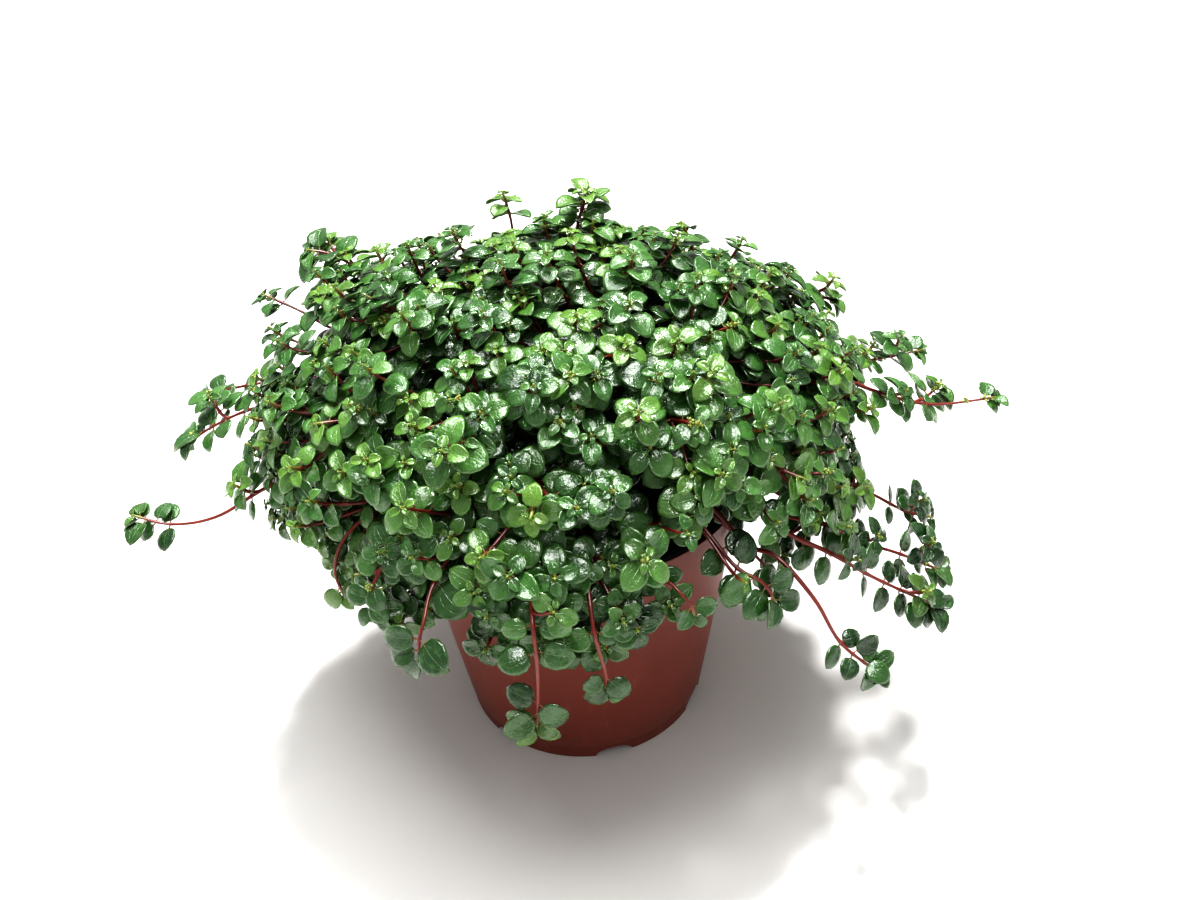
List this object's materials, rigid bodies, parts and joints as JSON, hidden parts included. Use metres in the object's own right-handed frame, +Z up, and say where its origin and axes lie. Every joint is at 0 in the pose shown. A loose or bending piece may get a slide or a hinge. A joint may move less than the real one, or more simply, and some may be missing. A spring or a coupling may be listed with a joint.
{
  "type": "potted pilea plant",
  "caption": "Potted trailing pilea: a dense domed mound of small round green leaves on thin red stems, some trailing out, in a tapered terracotta-brown plastic nursery pot filled with soil.",
  "frame": {"origin": "centre of the pot's underside, on the surface that it stands on", "axes": "+Z up through the middle of the pot, +Y away from the picture's viewer, +X to the viewer's right"},
  "size_m": [0.3098, 0.2002, 0.1866],
  "materials": {
    "pot_plastic": "matte terracotta brown outside, black inside",
    "potting_soil": "damp dark peat with bark crumbs",
    "foliage": "glossy deep green leaves with a bluish silver sheen, on crimson stems"
  },
  "bodies": {
    "root": {"pot": "pot_plastic", "soil": "potting_soil", "runner_left_long": "foliage", "runner_left_mid": "foliage", "runner_left_high": "foliage", "runner_left_top": "foliage", "runner_left_crest": "foliage", "runner_top_left": "foliage", "runner_top_mid": "foliage", "runner_top_right": "foliage", "runner_right_crest": "foliage", "runner_right_high": "foliage", "runner_right_long": "foliage", "runner_right_mid": "foliage", "runner_right_low_a": "foliage", "runner_right_low_b": "foliage", "runner_right_drop": "foliage", "runner_front_drop": "foliage", "runner_front_left": "foliage", "runner_front_right": "foliage", "runner_front_side": "foliage", "runner_under_right": "foliage", "runner_left_under": "foliage", "runner_left_low": "foliage", "spray_01": "foliage", "spray_02": "foliage", "spray_03": "foliage", "spray_04": "foliage", "spray_05": "foliage", "spray_06": "foliage", "spray_07": "foliage", "spray_08": "foliage", "spray_09": "foliage", "spray_10": "foliage", "spray_11": "foliage", "spray_12": "foliage", "spray_13": "foliage", "spray_14": "foliage", "spray_15": "foliage", "spray_16": "foliage", "spray_17": "foliage"}
  },
  "joints": []
}
